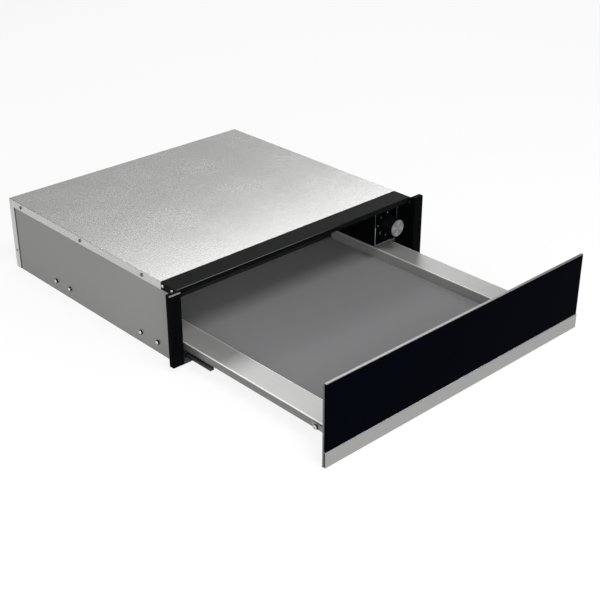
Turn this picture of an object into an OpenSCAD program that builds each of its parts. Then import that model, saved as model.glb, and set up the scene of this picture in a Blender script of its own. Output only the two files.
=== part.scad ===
// Built-in warming drawer, drawn with the drawer standing part way open.
// X runs to the right seen from the front, Y runs back into the cabinet, Z is up.
// The origin is the centre of the underside of the base plate.

/* [Housing] */
// Width over the side panels
body_w = 544; // [520:1:550]
// Height from the underside of the base to the top cover
body_h = 140; // [138:1:146]
// Distance from the front of the posts to the back panel
body_d = 515; // [505:1:540]
// Sheet thickness of the housing
sheet = 1; // [0.8:0.1:1.2]
// Height of the folded edge of the top cover
cover_fold = 14.5; // [10:0.5:20]

/* [Front frame] */
// Width over both posts
frame_w = 590; // [586:1:594]
// Depth of a post from front to back
post_d = 10; // [8:0.5:11]
// Height of the lower end of the posts above the base
post_foot = 9; // [6:0.5:12]
// Distance of the top bar behind the front of the posts
bar_setback = 12; // [11:0.5:16]
// Depth of the top bar's upper face that stays uncovered
bar_d = 40; // [34:1:46]
// Height of the top bar's front lip
bar_lip = 9.5; // [8:0.5:12]

/* [Drawer] */
// Opening of the drawer as drawn
opening_shown = 345; // [250:1:380]
// Gap left between the drawer front and the posts when it is closed
closed_gap = 3.5; // [3:0.5:5]
// Depth of the tray
tray_d = 510; // [490:1:512]
// Width over the outer edges of the ledges
ledge_span = 526; // [520:1:530]
// Width of the flat floor between the ledges
floor_w = 434; // [420:1:440]
// Height of the ledges above the base
ledge_z = 41.5; // [40:0.5:43]
// Height of the folded edge along the outside of each ledge
ledge_drop = 13.9; // [10:0.1:14]
// Height of the tray floor's upper side above the base
floor_z = 21.5; // [20:0.5:23]
// Thickness of the non-slip mat
mat_t = 1.5; // [1:0.5:2]
// Height of the tray's low back lip above its floor
back_lip = 3; // [2:0.5:12]

/* [Drawer front] */
// Width of the glass front
front_w = 594; // [592:1:596]
// Height of the front with its bottom strip
front_h = 140; // [136:1:144]
// Height of the front's lower edge above the base
front_z = 3; // [2:0.5:5]
// Thickness of the front
front_t = 7.5; // [6.5:0.5:12]
// Thickness of the glass
glass_t = 4; // [3:0.5:5]
// How far the backing ends below the top edge
backing_drop = 5; // [2:0.5:8]
// Height of the steel strip along the bottom
strip_h = 26.5; // [22:0.5:32]

/* [Controls] */
// Distance of the knob's axis to the right of the centre
knob_x = 231.5; // [226:0.5:236]
// Height of the knob's axis above the base
knob_z = 91.5; // [88:0.5:96]
// Diameter of the knob
knob_dia = 33; // [28:0.5:36]
// Distance of the fascia behind the front of the posts
fascia_setback = 32; // [30:0.5:36]
// Width of the fascia
fascia_w = 60; // [56:1:61]
// Height of the lower edge of the fascia above the base
fascia_z = 56; // [52:0.5:60]

/* [Hidden] */
$fn = 48;

// Colours
galvanised = "#c4c5c3";
black_paint = "#222425";
steel = "#b9b9b6";
dark_steel = "#3a3b3d";
plastic_black = "#191a1b";
plastic_white = "#e4e2da";

// Places along Y: the frame's front plane and the back of the drawer front, as drawn
face_y = -(body_d - sheet + bar_setback) / 2;
front_y = face_y - opening_shown;
travel_to_closed = opening_shown - closed_gap;
side_x = body_w / 2;
inner_x = side_x - sheet;
cover_front = bar_setback + bar_d;
cut = 1;
gap = 0.4;

// Post and bar details
post_wall = 1.5;
post_round = 2;
bar_t = 1.2;
bar_top = body_h - sheet;
bar_tuck = 8;
bar_return = 9;
return_x = inner_x - bar_t;
return_top = bar_top - cover_fold + 1;

// Screws
screw_r = 1.5;
head_r = 3.2;
head_h = 1.4;
rail_head_r = 4;
rail_head_h = 2.2;
cover_screw_y = [103, 282, 475];
cover_screw_z = body_h - 7;
frame_screw_y = [22, 47];
frame_screw_z = body_h - 6.5;
rail_screw_y = [71, 118, 332, 376];
rail_screw_z = 20;

// Runner section: heights above the base and distances from the centre plane
rail_t = 1.2;
fixed_z = [17, 27.2];
fixed_edge = 262.5;
riser_x = 260.4;
slide_edge = 268;
lower_slide_z = [20.7, 23.5];
upper_slide_z = [31.2, 36.8];
upper_slide_edge = 254;
drawer_rail_z = [27.5, 40.5];
drawer_rail_x = [250, 258.5];
ball_r = 1.2;
ball_gap = 0.05;
cage_t = 0.8;
ball_pitch = 12;
carrier_w = 13;
carrier_t = 1.5;

// Runner lengths and places with the drawer closed, behind the frame's front plane
fixed_y = [3, 463];
middle_closed_y = [110, 460];
outer_cage_closed_y = [135, 335];
inner_cage_closed_y = [222, 302];
drawer_rail_y = [18.5, 418.5];

// Control details
fascia_x = knob_x + 29.5 - fascia_w;
fascia_top = bar_top - bar_lip - bar_t;
box_d = 118;
knob_face = 3.5;
knob_clear = 1.5;
knob_cap_t = 1.2;
shaft_r = 3;
lamp_r = 2.2;
probe_tube_r = 1;
probe_x = return_x - 14;
probe_z = 112;

// Rear compartment, on a shelf above the closed tray
partition_y = 440;
shelf_z = 45;
shelf_top = shelf_z + sheet;
duct_r = 30;
fan_y = 478;
fan_z = shelf_top + duct_r;
fan_r = 25;
fan_x = [-160, 40];
blade_count = 18;
motor_size = 58;
motor_x = 62;
bearing_clear = 0.05;
gland_x = 200;
gland_z = 62;
gland_bore_r = 4;
element_half = 10;
element_y = partition_y + 7;
element_pin_r = 1.5;

// Latch, under the tray: the plunger's tip stands just behind the striker of the closed drawer
latch_z = 10.5;
latch_r = 9;
latch_length = 46;
striker_y = 425;
plunger_r = 4.5;
plunger_length = 32;
plunger_stroke = 8;
striker_t = 1.2;
plunger_tip = striker_y - closed_gap + striker_t + gap;

// Drawer front details
strip_proud = 0.7;
bracket_t = 1.5;
bolt_y = 46;
bolt_z = 32;
bolt_r = 4.2;

module block(low, high) translate(low) cube(high - low);
// What follows is placed with y = 0 at the frame's front plane
module behind_face() translate([0, face_y, 0]) children();
// What follows is placed with y = 0 at the back of the drawer front
module behind_front() translate([0, front_y, 0]) children();
module on_side(side) mirror([side > 0 ? 1 : 0, 0, 0]) children();
module along_x(from, to, r) translate([from, 0, 0]) rotate([0, 90, 0]) cylinder(h = to - from, r = r);
module along_y(from, to, r) translate([0, from, 0]) rotate([-90, 0, 0]) cylinder(h = to - from, r = r);

module base_plate() color(galvanised) behind_face() difference() {
    block([-inner_x, bar_setback, 0], [inner_x, body_d - sheet, sheet]);
    for (row = [0:5], side = [-1, 1])
        translate([side * 150, partition_y + 10 + row * 11, 0]) block([-30, -2, -cut], [30, 2, sheet + cut]);
}

// Drawn as the left panel, notched at its front end for the top bar
module side_panel() color(galvanised) behind_face() difference() {
    union() {
        block([-side_x, bar_setback, 0], [-inner_x, body_d - sheet, bar_top]);
        block([-inner_x, bar_setback + 6, sheet], [-inner_x + 8, body_d - sheet, 2 * sheet]);
        block([-inner_x, cover_front + bar_tuck + 2, bar_top - sheet],
              [-inner_x + 12, body_d - sheet, bar_top]);
    }
    for (y = rail_screw_y)
        translate([0, y, rail_screw_z]) along_x(-side_x - cut, -inner_x + cut, screw_r + 0.6);
    for (y = concat(cover_screw_y, frame_screw_y))
        translate([0, y, cover_screw_z]) along_x(-side_x - cut, -inner_x + cut, screw_r + 0.6);
    block([-side_x - cut, bar_setback - cut, bar_top - bar_t],
          [-inner_x + cut, cover_front + bar_tuck, bar_top + cut]);
    block([-side_x - cut, bar_setback - cut, bar_top - bar_lip],
          [-inner_x + cut, bar_setback + bar_t, bar_top + cut]);
}
module left_side_panel() side_panel();
module right_side_panel() on_side(1) side_panel();

module back_panel() color(galvanised) behind_face() difference() {
    union() {
        block([-side_x, body_d - sheet, 0], [side_x, body_d, bar_top]);
        for (side = [-1, 1])
            on_side(side) block([-side_x - sheet, body_d - 14, 0], [-side_x, body_d, body_h - cover_fold]);
    }
    for (column = [-6:5])
        translate([column * 16 - 52, body_d, fan_z]) block([-3, -2, -24], [3, cut, 24]);
    translate([gland_x, 0, gland_z]) along_y(body_d - sheet - cut, body_d + cut, 7);
    for (side = [-1, 1])
        on_side(side) translate([0, body_d - 7, 36]) along_x(-side_x - 2, -side_x + 0.2, 1.5);
}

module top_cover() color(galvanised) behind_face() difference() {
    union() {
        block([-side_x, cover_front, bar_top], [side_x, body_d, body_h]);
        for (side = [-1, 1])
            on_side(side) block([-side_x - sheet, cover_front, body_h - cover_fold],
                                [-side_x, body_d, body_h]);
    }
    for (y = cover_screw_y, side = [-1, 1])
        on_side(side) translate([0, y, cover_screw_z]) along_x(-side_x - 2, -side_x + 0.2, screw_r + 0.6);
}

module front_top_bar() color(black_paint) behind_face() {
    block([-side_x, bar_setback, bar_top - bar_t], [side_x, cover_front + bar_tuck, bar_top]);
    block([-side_x, bar_setback, bar_top - bar_lip], [side_x, bar_setback + bar_t, bar_top]);
    block([-return_x, bar_setback, bar_top - bar_lip],
          [return_x, bar_setback + bar_return, bar_top - bar_lip + bar_t]);
    for (side = [-1, 1]) on_side(side) difference() {
        block([-side_x - bar_t, bar_setback, bar_top - cover_fold + 1.5],
              [-side_x, cover_front - gap, bar_top]);
        for (y = frame_screw_y)
            translate([0, y, frame_screw_z]) along_x(-side_x - 2, -side_x + 0.2, screw_r + 0.6);
    }
}

// A rectangle in plan with the two front corners rounded
module post_plan(x0, x1, y1, r) {
    translate([x0 + r, 0]) square([x1 - x0 - 2 * r, y1]);
    translate([x0, r]) square([x1 - x0, y1 - r]);
    translate([x0 + r, r]) circle(r);
    translate([x1 - r, r]) circle(r);
}

// Drawn as the left post: a channel open at the back, its inner wall met by the side panel, with a flange
// that runs back inside the housing above the runner
module post() color(black_paint) behind_face() {
    outer = -frame_w / 2;
    difference() {
        translate([0, 0, post_foot]) linear_extrude(body_h - post_foot)
            post_plan(outer, -side_x, post_d, post_round);
        block([outer + post_wall, post_wall + 0.5, post_foot + post_wall],
              [-side_x - post_wall, post_d + cut, body_h - post_wall]);
    }
    flange_low = fixed_z[1] + gap;
    block([-side_x - post_wall, post_d - post_wall, post_foot], [-side_x, bar_setback, bar_top]);
    block([-side_x - post_wall, post_d - post_wall, flange_low], [-return_x, post_d, return_top]);
    block([-inner_x, post_d - post_wall, flange_low], [-return_x, fascia_setback + 12, return_top]);
}
module left_post() post();
module right_post() on_side(1) post();

// A screw through the left side, its head outside
module side_screw(y, z, outer, inner, r, h) translate([0, y, z]) {
    difference() {
        along_x(-outer - h, -outer, r);
        along_x(-outer - h - cut, -outer - h / 2, r / 2);
    }
    along_x(-outer - h / 2, -inner, screw_r);
}

module cover_screws() color(dark_steel) behind_face()
    for (side = [-1, 1], y = cover_screw_y) on_side(side)
        side_screw(y, cover_screw_z, side_x + sheet, inner_x - 4, head_r, head_h);

module frame_screws() color(steel) behind_face()
    for (side = [-1, 1], y = frame_screw_y) on_side(side)
        side_screw(y, frame_screw_z, side_x + bar_t, side_x - 0.5, head_r - 0.6, head_h);

module runner_screws() color(steel) behind_face()
    for (side = [-1, 1], y = rail_screw_y) on_side(side)
        side_screw(y, rail_screw_z, side_x, inner_x - rail_t, rail_head_r, rail_head_h);

module control_box() color(black_paint) behind_face() {
    left = fascia_x - sheet;
    back = fascia_setback + box_d;
    block([left, fascia_setback, fascia_z - sheet], [fascia_x, back, bar_top - bar_t]);
    block([left, fascia_setback, fascia_z - sheet], [return_x - gap, back, fascia_z]);
    difference() {
        block([left, back - sheet, fascia_z - sheet], [return_x - gap, back, bar_top - sheet - 2]);
        translate([probe_x, 0, probe_z]) along_y(back - 3, back + cut, probe_tube_r + 0.2);
    }
    block([fascia_x + fascia_w, fascia_setback, fascia_z - sheet],
          [return_x - gap, fascia_setback + sheet, fascia_top]);
}

module control_fascia() color("#0c0d0f") behind_face() difference() {
    block([fascia_x, fascia_setback, fascia_z], [fascia_x + fascia_w, fascia_setback + 2, fascia_top]);
    translate([knob_x, 0, knob_z]) along_y(fascia_setback - cut, fascia_setback + 3, 5);
    translate([fascia_x + 9, 0, knob_z + 23]) along_y(fascia_setback - cut, fascia_setback + 3, lamp_r);
}

module fascia_trim() color("#d8d8d6") behind_face() {
    trim_w = 1.8;
    proud = 0.8;
    right = fascia_x + fascia_w;
    front = fascia_setback - proud;
    block([fascia_x - 0.4, front, fascia_z - 1], [fascia_x - 0.4 + trim_w, fascia_setback, fascia_top]);
    block([right - trim_w, front, fascia_z - 1], [right, fascia_setback, fascia_top]);
    block([fascia_x - 0.4, front, fascia_z - 1], [right, fascia_setback, fascia_z + 0.2]);
}

module pilot_lamp() color("#a33a22") behind_face() translate([fascia_x + 9, 0, knob_z + 23]) {
    along_y(fascia_setback - 0.6, fascia_setback + 6, lamp_r - 0.1);
    along_y(fascia_setback + 2, fascia_setback + 14, lamp_r + 1.5);
}

module thermostat_body() color(steel) behind_face() difference() {
    union() {
        translate([knob_x, 0, knob_z]) block([-14, fascia_setback + 8, -17], [14, fascia_setback + 32, 17]);
        translate([knob_x, 0, knob_z]) along_y(fascia_setback - 0.5, fascia_setback + 9, 4.5);
        for (side = [-1, 1])
            translate([knob_x + side * 8, 0, knob_z]) block([-3, fascia_setback + 31, 4],
                                                            [3, fascia_setback + 39, 4.8]);
    }
    translate([knob_x, 0, knob_z])
        along_y(fascia_setback - cut, fascia_setback + 20, shaft_r + bearing_clear);
}

module thermostat_nut() color(steel) behind_face() translate([knob_x, 0, knob_z]) difference() {
    translate([0, fascia_setback + 2, 0]) rotate([-90, 0, 0]) cylinder(h = 3, r = 8, $fn = 6);
    along_y(fascia_setback, fascia_setback + 6, 4.52);
}

// A capillary from the control box to a bulb in front of the partition
module temperature_probe() color("#b98a5a") behind_face() translate([probe_x, 0, probe_z]) {
    bulb_r = 3;
    along_y(fascia_setback + box_d - 12, partition_y - 55, probe_tube_r);
    along_y(partition_y - 56, partition_y - 8, bulb_r);
    block([-2, partition_y - 9, -2], [2, partition_y, 2]);
}

module rear_partition() color(galvanised) behind_face() difference() {
    union() {
        block([-return_x, partition_y, shelf_z], [return_x, partition_y + sheet, bar_top - sheet]);
        block([-inner_x, partition_y, shelf_z], [inner_x, body_d - sheet, shelf_top]);
    }
    for (column = [0:19])
        translate([fan_x[0] + 5 + column * 10, partition_y, fan_z]) block([-2.5, -cut, -24], [2.5, 2, 24]);
    for (column = [0:7])
        translate([100 + column * 12, partition_y, fan_z + 10]) block([-2.5, -cut, -18], [2.5, 2, 18]);
}

// Section of the duct across the fan: a half ring behind the impeller and two flat walls in front of it
module duct_section(wall) {
    difference() {
        circle(duct_r);
        circle(duct_r - wall);
        translate([-2 * duct_r, -2 * duct_r]) square([2 * duct_r, 4 * duct_r]);
    }
    for (z = [-duct_r, duct_r - wall])
        translate([partition_y + sheet - fan_y, z]) square([fan_y - partition_y - sheet + 0.5, wall]);
}

module fan_duct() color(galvanised) behind_face() {
    wall = 1;
    translate([fan_x[0] - 4, fan_y, fan_z]) rotate([90, 0, 90])
        linear_extrude(fan_x[1] - fan_x[0] + 8) duct_section(wall);
    for (x = [fan_x[0] - 4, fan_x[1] + 3]) difference() {
        translate([x, fan_y, fan_z]) union() {
            along_x(0, wall, duct_r);
            block([0, partition_y + sheet - fan_y, -duct_r], [wall, 0, duct_r]);
        }
        translate([0, fan_y, fan_z]) along_x(x - cut, x + wall + cut, 7);
        for (side = [-1, 1]) translate([0, element_y, fan_z + side * element_half])
            along_x(x - cut, x + wall + cut, element_pin_r + 0.03);
    }
}

module heating_element() color("#7c746b") behind_face() translate([0, element_y, fan_z]) {
    tube_r = 3;
    turn_x = fan_x[0] + 14;
    tube_end = fan_x[1] - 10;
    for (side = [-1, 1]) translate([0, 0, side * element_half]) {
        along_x(turn_x, tube_end, tube_r);
        along_x(tube_end - 1, fan_x[1] + 12, element_pin_r);
    }
    translate([turn_x, 0, 0]) rotate([90, 0, 0]) rotate([0, 0, 90])
        rotate_extrude(angle = 180) translate([element_half, 0]) circle(tube_r);
}

module safety_cutout() color(steel) behind_face() translate([-40, partition_y + 18, fan_z + duct_r]) {
    cylinder(h = 3, r = 9);
    translate([0, 0, 2.5]) cylinder(h = 9, r = 7.5);
    for (side = [-1, 1]) translate([side * 4, 0, 11]) block([-0.4, -3, 0], [0.4, 3, 8]);
}

module motor_stator() color("#8b8d90") behind_face() translate([motor_x, fan_y, fan_z]) difference() {
    block([0, -motor_size / 2, -motor_size / 2], [20, motor_size / 2, motor_size / 2]);
    along_x(-cut, 21, 14);
    block([-cut, -22, 17], [21, 22, 22]);
}

module motor_coil() color("#a5673a") behind_face() translate([motor_x, fan_y, fan_z]) difference() {
    block([-6, -14, 15], [26, 14, 34]);
    block([-0.3, -15, 21.6], [20.3, 15, 29.3]);
    block([-0.3, -15, 14], [20.3, 15, 17.1]);
}

// Holds the stator and stands on the shelf
module motor_bracket() color(galvanised) behind_face() difference() {
    face_x = motor_x + 20;
    union() {
        block([face_x, fan_y - motor_size / 2, shelf_top],
              [face_x + 1.2, fan_y + motor_size / 2, fan_z + 12]);
        block([face_x, fan_y - motor_size / 2, shelf_top],
              [face_x + 20, fan_y + motor_size / 2, shelf_top + 1.2]);
    }
    translate([0, fan_y, fan_z]) along_x(face_x - cut, face_x + 3, 9);
}

module shaft_bearings() color(dark_steel) behind_face()
    for (x = [fan_x[0] - 9, fan_x[1] + 2.5]) translate([0, fan_y, fan_z]) difference() {
        along_x(x, x + 7, 6.95);
        along_x(x - cut, x + 8, shaft_r + bearing_clear);
    }

module terminal_block() color(plastic_white) behind_face() difference() {
    block([120, body_d - 26, 50], [176, body_d - sheet, 74]);
    for (column = [0:3]) translate([128 + column * 13, body_d - 16, 0]) cylinder(h = 200, r = 2.5);
    for (column = [0:3]) translate([128 + column * 13, 0, 56]) along_y(body_d - 30, body_d - 12, 2);
}

module cable_gland() color(plastic_black) behind_face() translate([gland_x, 0, gland_z]) difference() {
    union() {
        along_y(body_d - 12, body_d + 1, 6.9);
        along_y(body_d, body_d + 4, 9.5);
        translate([0, body_d - 7, 0]) rotate([-90, 0, 0]) cylinder(h = 6, r = 11, $fn = 6);
    }
    along_y(body_d - 13, body_d + 5, gland_bore_r);
}

// A barrel on a foot that stands on the base plate
module latch_body() color(plastic_black) behind_face() difference() {
    union() {
        translate([0, 0, latch_z]) along_y(plunger_tip + 5, plunger_tip + latch_length, latch_r);
        block([-2 * latch_r, plunger_tip + 12, sheet], [2 * latch_r, plunger_tip + 34, latch_z - 4]);
    }
    translate([0, 0, latch_z])
        along_y(plunger_tip, plunger_tip + plunger_length + plunger_stroke + 1, plunger_r + 0.08);
}

module latch_plunger() color(plastic_white) behind_face() translate([0, 0, latch_z])
    along_y(plunger_tip, plunger_tip + plunger_length, plunger_r);

// Runner members, drawn for the left side and with the drawer closed
module rail_bar(y, x, z) block([-x[1], y[0], z[0]], [-x[0], y[1], z[1]]);

module fixed_rail() color(dark_steel) behind_face() difference() {
    union() {
        rail_bar(fixed_y, [inner_x - rail_t, inner_x], fixed_z);
        rail_bar(fixed_y, [fixed_edge, inner_x], [fixed_z[0], fixed_z[0] + rail_t]);
        rail_bar(fixed_y, [fixed_edge, inner_x], [fixed_z[1] - rail_t, fixed_z[1]]);
    }
    for (y = rail_screw_y)
        translate([0, y, rail_screw_z]) along_x(-inner_x - cut, -inner_x + rail_t + cut, screw_r + 0.1);
}
module left_fixed_rail() fixed_rail();
module right_fixed_rail() on_side(1) fixed_rail();

// Moves what follows from its closed place to where it stands as drawn
module follow(share) translate([0, face_y - share * travel_to_closed, 0]) children();

module middle_rail() color(dark_steel) follow(0.5) {
    rail_bar(middle_closed_y, [riser_x, riser_x + rail_t], [lower_slide_z[0], upper_slide_z[1]]);
    for (z = [lower_slide_z[0], lower_slide_z[1] - rail_t])
        rail_bar(middle_closed_y, [riser_x, slide_edge], [z, z + rail_t]);
    for (z = [upper_slide_z[0], upper_slide_z[1] - rail_t])
        rail_bar(middle_closed_y, [upper_slide_edge, riser_x + rail_t], [z, z + rail_t]);
}
module left_middle_rail() middle_rail();
module right_middle_rail() on_side(1) middle_rail();

// A ball cage: a channel that carries one row of balls above and one below
module ball_cage(y, web_x, flange_x, ball_x, z) {
    half = cage_t / 2;
    rail_bar(y, web_x, [z[0] - half, z[1] + half]);
    for (row = z) {
        rail_bar(y, flange_x, [row - half, row + half]);
        for (step = [y[0] + 4:ball_pitch:y[1] - 4]) translate([-ball_x, step, row]) sphere(ball_r, $fn = 24);
    }
}
module outer_cage() color(steel) follow(0.25)
    ball_cage(outer_cage_closed_y, [slide_edge + 0.5, slide_edge + 0.5 + cage_t], [263.5, slide_edge + 1],
              265.8, [fixed_z[0] + rail_t + ball_r + ball_gap, fixed_z[1] - rail_t - ball_r - ball_gap]);
module inner_cage() color(steel) follow(0.75)
    ball_cage(inner_cage_closed_y, [upper_slide_edge - 0.6 - cage_t, upper_slide_edge - 0.6],
              [upper_slide_edge - 1, 258.9], 256,
              [drawer_rail_z[0] + rail_t + ball_r + ball_gap, drawer_rail_z[1] - rail_t - ball_r - ball_gap]);
module left_outer_cage() outer_cage();
module right_outer_cage() on_side(1) outer_cage();
module left_inner_cage() inner_cage();
module right_inner_cage() on_side(1) inner_cage();

module drawer_rail() color(steel) behind_front() {
    rail_bar(drawer_rail_y, [drawer_rail_x[0], drawer_rail_x[0] + rail_t], drawer_rail_z);
    for (z = [drawer_rail_z[0], drawer_rail_z[1] - rail_t])
        rail_bar(drawer_rail_y, drawer_rail_x, [z, z + rail_t]);
}
module left_drawer_rail() drawer_rail();
module right_drawer_rail() on_side(1) drawer_rail();

module drawer_tray() color(steel) behind_front() {
    half_floor = floor_w / 2;
    half_span = ledge_span / 2;
    block([-half_floor - sheet, 0, floor_z - sheet], [half_floor + sheet, tray_d, floor_z]);
    block([-half_floor - sheet, 0, floor_z - sheet], [half_floor + sheet, sheet, ledge_z]);
    block([-half_floor - sheet, tray_d - sheet, floor_z - sheet],
          [half_floor + sheet, tray_d, floor_z + back_lip]);
    for (side = [-1, 1]) on_side(side) {
        block([-half_floor - sheet, 0, floor_z - sheet], [-half_floor, tray_d, ledge_z]);
        block([-half_span, 0, ledge_z - sheet], [-half_floor, tray_d, ledge_z]);
        block([-half_span, 0, ledge_z - ledge_drop], [-half_span + sheet, tray_d, ledge_z]);
    }
}

// Hat sections that stiffen the tray floor
module tray_cross_members() color(galvanised) behind_front()
    for (y = [90, 300]) {
        under = floor_z - sheet;
        for (edge = [0, 39]) block([-floor_w / 2, y + edge, under - 8], [floor_w / 2, y + edge + 1, under]);
        block([-floor_w / 2, y, under - 8], [floor_w / 2, y + 40, under - 7]);
        for (edge = [-11, 40])
            block([-floor_w / 2, y + edge, under - 1], [floor_w / 2, y + edge + 11, under]);
    }

module non_slip_mat() color("#6f7072") behind_front()
    block([-floor_w / 2 + 0.5, sheet + 0.5, floor_z],
          [floor_w / 2 - 0.5, tray_d - sheet - 0.5, floor_z + mat_t]);

module carrier() color(galvanised) behind_front() {
    inner = drawer_rail_x[0] - carrier_t;
    rail_bar([0, tray_d - 2], [inner, drawer_rail_x[0]], drawer_rail_z);
    rail_bar([0, tray_d - 2], [inner - carrier_w, inner + carrier_t],
             [drawer_rail_z[1] - carrier_t, drawer_rail_z[1]]);
}
module left_carrier() carrier();
module right_carrier() on_side(1) carrier();

module front_glass() color("#07080a") behind_front()
    block([-front_w / 2, -front_t, front_z + strip_h],
          [front_w / 2, glass_t - front_t, front_z + front_h - sheet]);

// A pan with its floor towards the tray, closed in front by the glass and the strip
module front_backing() color("#3c3e41") behind_front() {
    half = front_w / 2 - 0.4;
    low = front_z + 1;
    high = front_z + front_h - backing_drop;
    wall = 1.2;
    block([-half, -wall, low], [half, 0, high]);
    for (side = [-1, 1]) on_side(side) block([-half, glass_t - front_t, low], [-half + wall, 0, high]);
    block([-half, glass_t - front_t, high - wall], [half, 0, high]);
    block([-half, glass_t - front_t, low], [half, 0, low + wall]);
}

module front_top_trim() color("#c9cac8") behind_front()
    block([-front_w / 2, -front_t - 0.2, front_z + front_h - sheet],
          [front_w / 2, glass_t - front_t, front_z + front_h]);

module front_bottom_strip() color("#a8a8a6") behind_front() {
    half = front_w / 2 + 1;
    front = -front_t - strip_proud;
    block([-half, front, front_z], [half, front + 1.2, front_z + strip_h]);
    block([-half, front, front_z], [half, 0, front_z + 1]);
    block([-half, front, front_z + strip_h - 1], [half, glass_t - front_t, front_z + strip_h]);
}

module front_bracket() color(dark_steel) behind_front() difference() {
    half_span = ledge_span / 2;
    union() {
        block([-half_span - bracket_t, 0, ledge_z - 13], [-half_span, bolt_y + 9, ledge_z - 4]);
        block([-half_span - 21, 0, ledge_z - 13], [-half_span, bracket_t, ledge_z + 17]);
    }
    translate([0, bolt_y, bolt_z]) along_x(-half_span - 3, -half_span + 1, screw_r + 0.7);
    translate([-half_span - 13, 0, ledge_z + 8]) along_y(-cut, 3, 2.2);
}
module left_front_bracket() front_bracket();
module right_front_bracket() on_side(1) front_bracket();

// A flanged hexagon bolt each side, and a screw that holds the bracket to the front
module bracket_bolts() color(steel) behind_front() for (side = [-1, 1]) on_side(side) {
    outer = -ledge_span / 2 - bracket_t;
    translate([outer, bolt_y, bolt_z]) {
        along_x(-0.8, 0, bolt_r);
        translate([-3.4, 0, 0]) rotate([0, 90, 0]) cylinder(h = 2.8, r = 3.4, $fn = 6);
        along_x(-1, bracket_t - 0.2, screw_r + 0.5);
    }
    translate([outer - 11.5, 0, ledge_z + 8]) {
        along_y(bracket_t, bracket_t + 1.6, 3.4);
        along_y(0.1, bracket_t + 1, 2);
    }
}

// An angle under the tray floor
module latch_striker() color(steel) behind_front() {
    under = floor_z - sheet;
    block([-15, striker_y, sheet + 1.5], [15, striker_y + striker_t, under]);
    block([-15, striker_y - 9, under - striker_t], [15, striker_y + striker_t, under]);
}

module knob_body() color(plastic_black) behind_face() translate([knob_x, 0, knob_z]) difference() {
    back = fascia_setback - knob_clear;
    union() {
        along_y(knob_face + knob_cap_t, back - 4, knob_dia / 2);
        along_y(back - 4.5, back, knob_dia / 2 - 1.5);
    }
    along_y(knob_face + 9, back + cut, shaft_r - 0.02);
}

module knob_cap() color("#c6c7c9") behind_face() translate([knob_x, 0, knob_z])
    along_y(knob_face, knob_face + knob_cap_t, knob_dia / 2 - 0.4);

module thermostat_shaft() color(steel) behind_face() translate([knob_x, 0, knob_z])
    along_y(knob_face + 10, fascia_setback + 19, shaft_r);

module fan_impeller() color("#d9dadb") behind_face() translate([0, fan_y, fan_z]) {
    for (x = [fan_x[0], (fan_x[0] + fan_x[1]) / 2, fan_x[1] - 1.2]) difference() {
        along_x(x, x + 1.2, fan_r);
        along_x(x - cut, x + 2, shaft_r - 0.02);
    }
    for (blade = [0:blade_count - 1])
        rotate([blade * 360 / blade_count, 0, 0])
            block([fan_x[0], fan_r - 6, -0.5], [fan_x[1], fan_r - 0.4, 0.5]);
}

module fan_shaft() color(steel) behind_face() translate([0, fan_y, fan_z])
    along_x(fan_x[0] - 10, motor_x + 22, shaft_r);

module motor_rotor() color("#6d6f72") behind_face() translate([0, fan_y, fan_z]) difference() {
    along_x(motor_x + 0.5, motor_x + 19.5, 13.4);
    along_x(motor_x, motor_x + 20, shaft_r - 0.02);
}

base_plate();
left_side_panel();
right_side_panel();
back_panel();
top_cover();
front_top_bar();
left_post();
right_post();
cover_screws();
frame_screws();
runner_screws();
control_box();
control_fascia();
fascia_trim();
pilot_lamp();
thermostat_body();
thermostat_nut();
temperature_probe();
rear_partition();
fan_duct();
heating_element();
safety_cutout();
motor_stator();
motor_coil();
motor_bracket();
shaft_bearings();
terminal_block();
cable_gland();
latch_body();
left_fixed_rail();
right_fixed_rail();
left_middle_rail();
right_middle_rail();
left_outer_cage();
right_outer_cage();
left_inner_cage();
right_inner_cage();
left_drawer_rail();
right_drawer_rail();
drawer_tray();
tray_cross_members();
non_slip_mat();
left_carrier();
right_carrier();
front_glass();
front_backing();
front_top_trim();
front_bottom_strip();
left_front_bracket();
right_front_bracket();
bracket_bolts();
latch_striker();
knob_body();
knob_cap();
thermostat_shaft();
fan_impeller();
fan_shaft();
motor_rotor();
latch_plunger();
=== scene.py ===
"""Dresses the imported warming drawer, and sets it on a pale floor in soft studio light.

Lengths are in metres. X runs to the right seen from the front, Y runs back and Z is up.
"""

import logging
import math
from dataclasses import dataclass, field
from enum import Enum
from typing import Any, Callable, Sequence

import bmesh
import bpy
from mathutils import Matrix, Vector


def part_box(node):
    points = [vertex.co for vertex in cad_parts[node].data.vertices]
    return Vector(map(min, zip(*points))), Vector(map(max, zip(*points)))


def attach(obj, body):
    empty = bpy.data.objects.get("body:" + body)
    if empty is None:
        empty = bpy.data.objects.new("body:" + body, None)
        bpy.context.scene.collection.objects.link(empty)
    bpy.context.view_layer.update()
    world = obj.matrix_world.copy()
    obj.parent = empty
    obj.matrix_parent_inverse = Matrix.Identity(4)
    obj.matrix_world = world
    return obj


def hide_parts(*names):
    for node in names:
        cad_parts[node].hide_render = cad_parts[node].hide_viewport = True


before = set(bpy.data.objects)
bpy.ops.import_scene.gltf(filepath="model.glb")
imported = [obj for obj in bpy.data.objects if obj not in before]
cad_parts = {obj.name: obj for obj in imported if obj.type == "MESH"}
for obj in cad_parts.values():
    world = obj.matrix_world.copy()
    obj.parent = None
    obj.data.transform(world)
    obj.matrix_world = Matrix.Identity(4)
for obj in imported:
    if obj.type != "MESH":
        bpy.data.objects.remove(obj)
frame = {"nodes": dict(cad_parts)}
LOG = logging.getLogger("warming_drawer")
MM = 0.001
EASE = 0.3 * MM
BEND_ANGLE = 30.0
EASE_ANGLE = 35.0
SMOOTH_ANGLE = 38.0
Colour = tuple[float, float, float]
Place = Sequence[float]


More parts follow.
